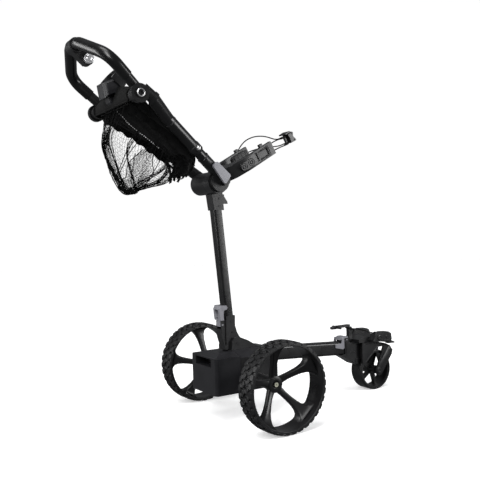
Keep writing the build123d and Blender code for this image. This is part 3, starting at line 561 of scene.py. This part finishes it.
def smooth_line(line, rounds=3):
    """A polyline with its corners cut, keeping both ends."""
    for _ in range(rounds):
        cut = [line[0]]
        for a, b in zip(line, line[1:]):
            cut.append((a[0] * 0.75 + b[0] * 0.25, a[1] * 0.75 + b[1] * 0.25))
            cut.append((a[0] * 0.25 + b[0] * 0.75, a[1] * 0.25 + b[1] * 0.75))
        line = cut + [line[-1]]
    return line


# An arm starts this far ahead, left and up, and runs back, outward and up by these shares of its length.
ARM_AHEAD, ARM_LEFT, ARM_UP = -74, 59, 782
ARM_BACK, ARM_OUT, ARM_RISE = 0.775, 0.225, 0.59


def arm_place(along, way, left=0.0, up=0.0):
    """A point along an arm's middle line, moved outward and up."""
    return at(ARM_AHEAD - ARM_BACK * along, way * (ARM_LEFT + ARM_OUT * along + left),
              ARM_UP + ARM_RISE * along + up)


NET_LINE = smooth_line([(-400, 982), (-420, 930), (-440, 885), (-424, 820), (-390, 744), (-364, 729),
                        (-318, 747), (-247, 760), (-220, 786), (-204, 838), (-194, 864)])
RIM_LINE = [(-400, 982), (-194, 864)]


def rim_half(u):
    """Half the width of the net's rim, in mm, from rear to front."""
    return 112 - 30 * u


def net_place(u, v, out=0.0):
    """A point of the hanging net: u from the rear rim to the front one, v across from right to left."""
    low, rim = along_line(NET_LINE, u), along_line(RIM_LINE, u)
    sink = max(0.0, 1 - abs(v) ** 2.6) ** 0.62
    half = rim_half(u)
    pinch = 1 - 0.34 * sink * sin(pi * u)
    folds = sin(9.0 * v + 2.2 * sin(5 * u)) * 8 + sin(17 * v - 7 * u) * 4 + sin(31 * u + 6 * v) * 2.5
    push = folds * sin(pi * u) * sink
    spot = noise.noise(Vector((u * 7, v * 5, 1.7))) * 9 * sink
    ahead = rim[0] + (low[0] - rim[0]) * sink + spot * 0.8
    up = rim[1] + (low[1] - rim[1]) * sink - spot * 0.4 * (1 - u)
    place = at(ahead + push * 0.5 * (0.5 - u), v * half * pinch + push * 0.9, up)
    middle = at(-310, 0, 870)
    return place + (place - middle).normalized() * out * MM


def mesh_patch(builder, rows, columns, place_at, jitter, seed=0.0):
    """A net's diamond cells as faces, which a wireframe modifier turns into strands."""
    grid = {}
    for i in range(rows + 1):
        for j in range(columns + 1):
            if (i + j) % 2 == 0:
                stray = Vector([noise.noise(Vector((i * 1.3, j * 1.7, axis * 5.1 + seed)))
                                for axis in range(3)])
                grid[i, j] = builder.verts.new(place_at(i / rows, j / columns) + stray * jitter)
    for i in range(rows - 1):
        for j in range(1, columns):
            if (i + j) % 2 == 0:
                builder.faces.new((grid[i, j], grid[i + 1, j + 1], grid[i + 2, j], grid[i + 1, j - 1]))


# Where the net is gathered: u and v of each fold's top and bottom, its half width in v, and how far it
# stands out in mm. The first LAYERED folds are several layers thick.
FOLDS = ((0.09, -0.10, 0.53, -0.20, 0.25, 3), (0.50, -0.95, 0.54, -0.22, 0.16, 4),
         (0.30, -0.93, 0.60, -0.42, 0.030, 4), (0.12, 0.10, 0.58, 0.30, 0.060, -4),
         (0.90, 0.45, 0.50, 0.05, 0.060, -3), (0.72, -0.90, 0.55, -0.50, 0.035, 5))
LAYERED, LAYERS = 2, 3


def fold_place(fold, along, across, spread=1.0):
    """A point of one gathered fold: along runs down it, across runs over its width."""
    first_u, first_v, last_u, last_v, half, out = fold
    sway = 0.02 * sin(9 * along + 7 * first_u)
    swell = half * spread * (0.55 + 0.45 * sin(pi * along)) * (2 * across - 1)
    u = first_u + (last_u - first_u) * along + swell * 0.55 + sway
    v = first_v + (last_v - first_v) * along + swell * (0.6 if first_u < 0.5 else -0.6) - sway
    return net_place(min(1.0, max(0.0, u)), min(1.0, max(-1.0, v)), out * (1 + sin(11 * across + 6 * along)))


def net():
    """The gathered net that hangs between the arms, with its binding and draw threads."""
    builder = bmesh.new()
    mesh_patch(builder, 60, 70, lambda u, v: net_place(u, 2 * v - 1), 0.0026)
    for number, fold in enumerate(FOLDS):
        for layer in range(LAYERS if number < LAYERED else 1):
            mesh_patch(builder, 46 + 4 * layer, 14, lambda u, v, fold=fold, layer=layer: fold_place(
                fold, u, v, 1 - 0.12 * layer), 0.0034, 3.7 * layer)
    mesh = bpy.data.meshes.new("net")
    builder.to_mesh(mesh)
    builder.free()
    piece = bpy.data.objects.new("net", mesh)
    bpy.context.scene.collection.objects.link(piece)
    give(piece, "fabric")
    strands = piece.modifiers.new("strands", "WIREFRAME")
    strands.thickness = 0.0009
    strands.use_even_offset = False
    strands.use_boundary = True
    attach(piece, "handle_frame")
    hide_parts("net_basket")

    builder = bmesh.new()
    steps = 46
    for v in (-1.0, 1.0):
        tube_along(builder, [net_place(n / steps, v) for n in range(steps + 1)], 0.0030)
    for u in (0.0, 1.0):
        tube_along(builder, [net_place(u, 2 * n / steps - 1) for n in range(steps + 1)], 0.0026)
    for fold in FOLDS:
        for across in (0.0, 1.0):
            tube_along(builder, [fold_place(fold, n / steps, across) for n in range(steps + 1)], 0.0014, 6)
    for first, second in ((-0.62, 0.10), (-0.30, -0.42), (0.55, 0.25)):
        tube_along(builder, [net_place(n / steps, first + (second - first) * (n / steps))
                             for n in range(steps + 1)], 0.0013, 6)
    for u, lean in ((0.42, 0.10), (0.60, -0.08)):
        tube_along(builder, [net_place(u + lean * (n / steps - 0.5), 1.9 * n / steps - 0.95)
                             for n in range(steps + 1)], 0.0013, 6)
    binding = finished(builder, "net_binding", "handle_frame", "fabric")


net()

# The cloth starts over the cross tube, runs down between the arms, and ends in a loose hem.
PANEL_LINE = smooth_line([(-410, 986), (-415, 1002), (-408, 1018), (-394, 1021), (-376, 1006), (-346, 976),
                          (-186, 852), (-172, 836), (-176, 808), (-200, 786)], 3)


def panel_place(u, v, lift=0.0):
    """A point of the cloth panel: u from the cross tube down to the hem, v across."""
    ahead, up = along_line(PANEL_LINE, u)
    half = min(128.0, ARM_LEFT + ARM_OUT * (ARM_AHEAD - ahead) / ARM_BACK - 15)
    half *= 1 - 0.20 * max(0.0, u - 0.84) / 0.16
    scallop = 1 + 0.02 * cos(u * 60)
    up += 34 * (1 - abs(v) ** 1.6) * max(0.0, 1 - abs(u - 0.13) / 0.10)
    sag = (1 - v * v) * 9 * sin(pi * min(1.0, max(0.0, u - 0.14) / 0.76))
    crease = noise.noise(Vector((u * 9, v * 3.5, 4.1))) * 5 + sin(14 * u + 5 * v) * 1.4
    crease *= (1 - v ** 4) * min(1.0, u * 5)
    return at(ahead - 0.6 * (sag + crease) + 0.6 * lift, v * half * scallop,
              up - 0.8 * (sag + crease) + 0.8 * lift)


def skirt_place(u, share, way):
    """A point of the cloth skirt below the net's rim: share runs down from the rim."""
    rim = along_line(RIM_LINE, u)
    depth = 20 + 34 * max(0.0, u - 0.45) + 3 * sin(40 * u)
    ripple = 1.6 * sin(34 * u + 3 * share) * share
    half = rim_half(u) * (1 - 0.10 * share) + 1.8 + ripple
    return at(rim[0] + 3 * share, way * half, rim[1] - 1.5 - depth * share)


STRAP = 0.0014  # the thickness of the loose straps, in metres


def ribbon(builder, points, width, thick, side=Vector((0, 1, 0))):
    """A flat strap through points."""
    rings = []
    for number, point in enumerate(points):
        before, after = points[max(0, number - 1)], points[min(len(points) - 1, number + 1)]
        along = (after - before).normalized()
        across = (side - along * side.dot(along)).normalized() * width / 2
        depth = along.cross(across).normalized() * thick / 2
        rings.append([point + across + depth, point - across + depth, point - across - depth,
                      point + across - depth])
    skin(builder, rings)


def panel():
    """The cloth over the cross tube, with its skirts, loose straps and stitches; the stitches are pale and
    glow faintly, painted light standing for the backdrop seen through the gaps along the net's edge.
    """
    rows, columns = 90, 56
    builder = bmesh.new()
    grid = [[builder.verts.new(panel_place(i / rows, 2 * j / columns - 1)) for j in range(columns + 1)]
            for i in range(rows + 1)]
    for i in range(rows):
        for j in range(columns):
            builder.faces.new((grid[i][j], grid[i][j + 1], grid[i + 1][j + 1], grid[i + 1][j]))
    mesh = bpy.data.meshes.new("panel")
    builder.to_mesh(mesh)
    builder.free()
    piece = bpy.data.objects.new("panel", mesh)
    bpy.context.scene.collection.objects.link(piece)
    for polygon in mesh.polygons:
        polygon.use_smooth = True
    give(piece, "fabric")
    thick = piece.modifiers.new("thick", "SOLIDIFY")
    thick.thickness = 0.0016
    thick.offset = 0
    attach(piece, "handle_frame")
    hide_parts("fabric_panel")

    builder = bmesh.new()
    steps = 90
    for v in (-1.0, 1.0):
        tube_along(builder, [panel_place(n / steps, v) for n in range(steps + 1)], 0.0028)
    for u in (0.0, 1.0):
        tube_along(builder, [panel_place(u, 2 * n / 40 - 1) for n in range(41)], 0.0028)
    # The skirt that joins the net to the cloth, on both sides.
    for way in (-1, 1):
        rows = [[builder.verts.new(skirt_place(n / 60, step / 8, way)) for step in range(9)]
                for n in range(61)]
        for first, second in zip(rows, rows[1:]):
            for step in range(8):
                builder.faces.new((first[step], first[step + 1], second[step + 1], second[step]))
    # Short loose straps at the hem and at the arms.
    for number in range(6):
        v = -0.92 + 0.36 * number
        start = panel_place(0.98, v)
        drop = Vector((0.006 * sin(5 * number) - 0.004, 0.006 * cos(3 * number),
                       -0.010 - 0.006 * (number % 3)))
        ribbon(builder, [start, start + drop * 0.5 + Vector((0.002, 0, 0)), start + drop], 0.016, STRAP)
    for way in (-1, 1):
        for u, wide in ((0.34, 0.030), (0.46, 0.024), (0.56, 0.020), (0.64, 0.011), (0.71, 0.014),
                        (0.80, 0.010)):
            start = panel_place(u, way)
            ahead, _ = along_line(PANEL_LINE, u)
            arm = arm_place((ARM_AHEAD - ahead) / ARM_BACK, way, -10, -10)
            ribbon(builder, [start, (start + arm) / 2 + Vector((0, 0, -0.002)), arm], wide, STRAP,
                   Vector((0.8, 0, -0.6)))
        for low, high in ((0.90, 0.70), (0.97, 0.80)):
            start, end = panel_place(low, way * 0.96), skirt_place(1.0, high, way)
            ribbon(builder, [start, (start + end) / 2 + Vector((0.002, 0, -0.003)), end], 0.015, STRAP)
    hem = finished(builder, "panel_hem", "handle_frame", "fabric")

    # A dashed line of pale, faintly glowing thread: painted light standing for the backdrop seen through the
    # gaps between net and cloth.
    builder = bmesh.new()
    stitch_count = 24
    for n in range(stitch_count):
        tube_along(builder, [panel_place(0.22 + 0.44 * (n + k * 0.25) / stitch_count, 0.52, -2.6)
                             for k in range(3)], 0.0013, 6)
    stitches = finished(builder, "painted_light_stitches", "handle_frame", "thread")


panel()


# ---------------------------------------------------------------- console between the pivots
def console():
    """The console's faceted body and foot, its two keys, and the curved hood behind it."""
    outline = [(-438, 1010), (-402, 1024), (-384, 1042), (-393, 1062), (-409, 1070), (-446, 1054)]
    middle = (-414, 1040)
    builder = bmesh.new()
    skin(builder, [[at(middle[0] + (x - middle[0]) * share, left, middle[1] + (z - middle[1]) * share)
                    for x, z in outline]
                   for left, share in ((-38, 0.74), (-36, 0.82), (-22, 1.0), (22, 1.0), (36, 0.82),
                                       (38, 0.74))])
    foot = [(-430, 1024), (-420, 1000), (-406, 990), (-388, 996), (-382, 1012), (-390, 1036)]
    skin(builder, [[at(-406 + (x + 406) * share, left, 1012 + (z - 1012) * share) for x, z in foot]
                   for left, share in ((-20, 0.82), (-16, 1.0), (16, 1.0), (20, 0.82))])
    # Two raised keys on the face that looks back at the player.
    facing = Vector((-0.86, 0, 0.51))
    face = at(-437, 0, 1043)
    across, down = Vector((0, 1, 0)), facing.cross(Vector((0, 1, 0)))
    for key in (-1, 1):
        rings = []
        for lift, share in ((-2, 1.0), (1.2, 1.0), (2.2, 0.78)):
            rings.append([face + facing * lift * MM + across * (key * 11 * MM)
                          + (across * x + down * y) * share * MM for x, y in rounded(14, 9, 3, 3)])
        skin(builder, rings)
    finished(builder, "console_look", "handle_frame", "case_plastic", ["console_base"], smooth=False,
             bevel=0.0012)

    builder = bmesh.new()
    normal = Vector((-0.78, 0, 0.626))
    start = at(-389, 0, 1038)
    up_way = Vector((0.626, 0, 0.78))
    rings = []
    for depth, outer in ((0, 42.5), (1.5, 44.0), (40, 44.6), (46, 43.2), (47.5, 41.5), (45.5, 40.4),
                         (4, 40.6), (0.5, 41.2)):
        ring = []
        for step in range(49):
            turn = pi * step / 48
            ring.append(start + normal * depth * MM + (across * cos(turn) + up_way * sin(turn)) * outer * MM)
        rings.append(ring)
    rows = skin(builder, rings, close_round=False, ends=False)
    for step in range(48):
        builder.faces.new((rows[0][step], rows[-1][step], rows[-1][step + 1], rows[0][step + 1]))
    for end in (0, -1):
        builder.faces.new([row[end] for row in rows])
    finished(builder, "hood_look", "handle_frame", "black_plastic", ["console_hood"], bevel=0.0006)


console()


# ---------------------------------------------------------------- collars and bolts on the arms
def sleeve(builder, way, spots):
    """A closed round sleeve on an arm, from pairs of the place along it and the radius, in mm."""
    along_way = Vector((-ARM_BACK, ARM_OUT * way, ARM_RISE)).normalized()
    side = along_way.cross(Vector((0, 1, 0))).normalized()
    other = along_way.cross(side)
    skin(builder, [[arm_place(along, way) + (side * cos(2 * pi * n / 48) + other * sin(2 * pi * n / 48))
                    * radius * MM for n in range(48)] for along, radius in spots])


def collars():
    """The arms' collars and end bands, the clamp bosses with their bolts, and the pivots' trim rings."""
    builder = bmesh.new()
    bolts = bmesh.new()
    for way in (-1, 1):
        sleeve(builder, way, ((124, 17.0), (125.5, 19.6), (128, 20.8), (150, 21.0), (153, 20.2),
                              (154.5, 19.0)))
        for along, radius in ((100, 18.0), (262, 19.0)):
            sleeve(builder, way, [(along + step, radius + grow)
                                  for step, grow in ((-6, -0.6), (-5, 0.7), (-1, 0.9), (0, -0.4))])
        boss_along = 139
        centre = arm_place(boss_along, way)
        centre.y = 0
        left = ARM_LEFT + ARM_OUT * boss_along
        turned(builder, [(left + 10, 0.5), (left + 10, 11), (left + 23, 11), (left + 24.5, 9.5),
                         (left + 24.5, 7.4), (left + 22.5, 7.0), (left + 22.5, 0.5)],
               centre, way, 40, closed=False)
        turned(bolts, [(left + 20, 0.4), (left + 20, 6.4), (left + 25, 6.4), (left + 26, 5.4),
                       (left + 26, 3.0), (left + 23.4, 2.8), (left + 23.4, 0.4)],
               centre, way, 40, closed=False)
        pivot = at(-394, 0, 1000)
        turned(bolts, [(182.0, 8.6), (182.0, 12.6), (183.2, 12.0), (183.6, 10.6), (183.2, 9.2),
                       (182.4, 8.6)], pivot, way, 64)
    finished(builder, "arm_collars", "handle_frame", "black_plastic", bevel=0.0004)
    finished(bolts, "arm_bolts", "handle_frame", "steel")


collars()


def dial():
    """The speed dial, with a knurled edge and a domed face."""
    centre = at(-482, 0, 1121)
    builder = bmesh.new()
    steps = 96
    rim, groove = 14.8, 0.7
    profile = [(13.5, 0.4), (13.5, 14.0), (14.6, 15.0), (24.5, 15.0), (26.0, 14.2), (26.4, 12.4),
               (25.4, 11.6), (27.6, 9.6), (29.2, 6.6), (30.0, 3.2), (30.2, 0.3)]
    rows = []
    for number in range(steps):
        turn = 2 * pi * number / steps
        row = []
        for left, radius in profile:
            high = radius - (groove if number % 4 < 2 and rim < radius else 0)
            row.append(builder.verts.new(centre + Vector((high * cos(turn), -left, high * sin(turn))) * MM))
        rows.append(row)
    for number in range(steps):
        first, second = rows[number], rows[(number + 1) % steps]
        for step in range(len(profile) - 1):
            builder.faces.new((first[step], first[step + 1], second[step + 1], second[step]))
    finished(builder, "dial_look", "dial", "dial", ["speed_dial"], bevel=0.0003)


dial()


# ---------------------------------------------------------------- padded rests on the upper cradle
def pads():
    """The two crowned pads that the bag's neck rests on."""
    for name, way in SIDES:
        builder = bmesh.new()
        rings = []
        for step in range(15):
            share = step / 14
            swell = (1 - abs(2 * share - 1) ** 4) ** 0.5
            ring = []
            for x, y in rounded(7.0 * (0.45 + 0.55 * swell), 33.0 * (0.70 + 0.30 * swell),
                                2.8 * (0.45 + 0.5 * swell), 4):
                ring.append(cradle_place(107.5 + 73 * share, way * (63 - x * (0.5 + 0.5 * swell)), 4 + y))
            rings.append(ring)
        skin(builder, rings)
        # Four moulded ribs across the rubbing face.
        for rib in range(4):
            out = 120 + 16 * rib
            tube_along(builder, [cradle_place(out, way * 59.4, -9 + 26 * n / 12) for n in range(13)],
                       0.0011, 6)
        pad = finished(builder, f"cradle_pad_{name}", "post", "rubber", ["cradle_pads"], level=1)


pads()


# ---------------------------------------------------------------- the upper cradle's clip and mouldings
def cradle_plate(builder, outline, lefts, shares=None):
    """A plate in the cradle's own plane of reach and height, carried from one left to the next."""
    mid_x, mid_z = (sum(point[axis] for point in outline) / len(outline) for axis in (0, 1))
    skin(builder, [[cradle_place(mid_x + (x - mid_x) * share, left, mid_z + (z - mid_z) * share)
                    for x, z in outline] for left, share in zip(lefts, shares or [1.0] * len(lefts))])


def far_clip():
    """The clip that joins the cradle's two elastic cords, in two halves on a bridge."""
    builder = bmesh.new()
    body = [(309, -33), (331, -34), (334, -29), (329, -17), (334, -5), (331, 1), (309, 0), (312, -16)]
    cradle_plate(builder, body, (-16, -14, -4.5, -4.0), (0.9, 1, 1, 0.94))
    cradle_plate(builder, body, (4.0, 4.5, 14, 16), (0.94, 1, 1, 0.9))
    cradle_plate(builder, [(296, -31), (318, -31), (318, -1), (296, -1), (299, -10), (299, -22)], (-5, 5))
    for out, high in ((297.5, -3.5), (297.5, -28.5), (329, -4), (329, -30)):
        reach = 8.5 if out < 300 else 18.5
        tube_along(builder, [cradle_place(out, left, high)
                             for left in (-reach, -reach + 1, reach - 1, reach)],
                   0.0031 if out < 300 else 0.0036, 16)
    cradle_plate(builder, [(299, 2), (322, 2), (324, 5), (320, 7), (300, 7), (297, 4)], (-20, -18, 18, 20),
                 (0.85, 1, 1, 0.85))
    finished(builder, "bag_clip_look", "post", "black_plastic", ["bag_clip"], smooth=False, bevel=0.0007)


def cradle_mouldings():
    """Raised frames, rings and lips on the upper cradle's outer sides."""
    builder = bmesh.new()
    for way in (-1, 1):
        # A raised frame round the recess in each outer side.
        raised = [(119.5, -13), (166.5, -13), (168, -11), (168, 17), (166.5, 19), (119.5, 19), (118, 17),
                  (118, -11)]
        points = [cradle_place(out, way * 81.6, high) for out, high in raised]
        tube_along(builder, points, 0.0019, 8, closed=True)
        inner = [cradle_place(143 + (out - 143) * 0.80, way * 80.2, 3 + (high - 3) * 0.74)
                 for out, high in raised]
        tube_along(builder, inner, 0.0012, 8, closed=True)
        # Two rings on each round boss, and a lip along the arm's top and bottom.
        for out in (52, 84):
            for radius, thick in ((11.6, 0.0011), (5.2, 0.0016)):
                tube_along(builder, [cradle_place(out + radius * cos(2 * pi * n / 32), way * 86.2,
                                                  2 + radius * sin(2 * pi * n / 32)) for n in range(32)],
                           thick, 8, closed=True)
        for high in (21.2, -16.2):
            tube_along(builder, [cradle_place(out, way * left, high) for out, left in (
                (24, 68), (46, 75), (70, 80.5), (110, 80.2), (150, 79.6), (186, 79.2))], 0.0016, 8)
    finished(builder, "cradle_mouldings", "post", "black_plastic")


def button(builder, ahead, up, left, way, radius, high):
    """A round cap with a dished middle on a side face."""
    top, dish = left + high, left + high * 0.55
    turned(builder, [(left - 0.5, 0.3), (left - 0.5, radius), (left + high * 0.7, radius),
                     (top, radius * 0.88), (top, radius * 0.62), (dish, radius * 0.5), (dish, 0.3)],
           at(ahead, 0, up), way, 32, closed=False)


# How far from the middle the side faces of the fork, its cradle and the front bracket are, in mm.
FORK_FACE, CRADLE_FACE, BRACKET_FACE = 42.0, 72, 24


def front_mouldings():
    """The raised plates, caps and ribs on the front fork, its bag cradle and its bracket."""
    fork = bmesh.new()
    bracket = bmesh.new()
    top, foot = Vector((649, 143)), Vector((593, 74.7))
    lean = (foot - top).normalized()
    side = Vector((-lean.y, lean.x))
    capsule = []
    plate_half = 13.5
    for end, half in ((top, 0), (foot, 1)):
        for n in range(13):
            turn = pi * n / 12 + pi * half
            capsule.append(end + side * (plate_half * cos(turn)) - lean * (plate_half * sin(turn)))
    centre = (top + foot) / 2
    for way in (-1, 1):
        rings = []
        for left, share in ((FORK_FACE - 0.5, 1.0), (FORK_FACE + 1.6, 1.0), (FORK_FACE + 2.4, 0.95)):
            rings.append([at(centre.x + (point.x - centre.x) * share, way * left,
                             centre.y + (point.y - centre.y) * share) for point in capsule])
        skin(fork, rings)
        button(fork, 593, 74.7, FORK_FACE + 2.4, way, 10.5, 2.2)
        button(fork, 649, 143, FORK_FACE + 2.4, way, 5.0, 1.6)
        for line in ([(530, 110), (588, 162), (606, 163)], [(522, 178), (580, 178), (630, 166), (646, 158)]):
            tube_along(fork, [at(x, way * FORK_FACE, z) for x, z in line], 0.0014, 8)
        button(fork, 574, 202, CRADLE_FACE, way, 10.0, 2.6)
        button(fork, 612, 201, CRADLE_FACE, way, 5.5, 1.8)
        tube_along(fork, [at(x, way * 71.6, z) for x, z in ((548, 196), (600, 190), (630, 189))], 0.0012, 8)
        for ahead in (476, 492):
            button(bracket, ahead, 152, BRACKET_FACE, way, 3.2, 1.4)
        for line in (((455, 143), (455, 190)), ((462, 130), (496, 111), (512, 113))):
            tube_along(bracket, [at(x, way * 23.9, z) for x, z in line], 0.0011, 8)
    for ahead in (548, 566, 584, 602):
        tube_along(fork, [at(ahead, left, 205) for left in (-43, -20, 0, 20, 43)], 0.0012, 8)
    finished(fork, "fork_mouldings", "fork", SLOT_OF["front_fork"], bevel=0.0003)
    finished(bracket, "bracket_mouldings", "chassis", SLOT_OF["front_bracket"], bevel=0.0003)


far_clip()
cradle_mouldings()
front_mouldings()
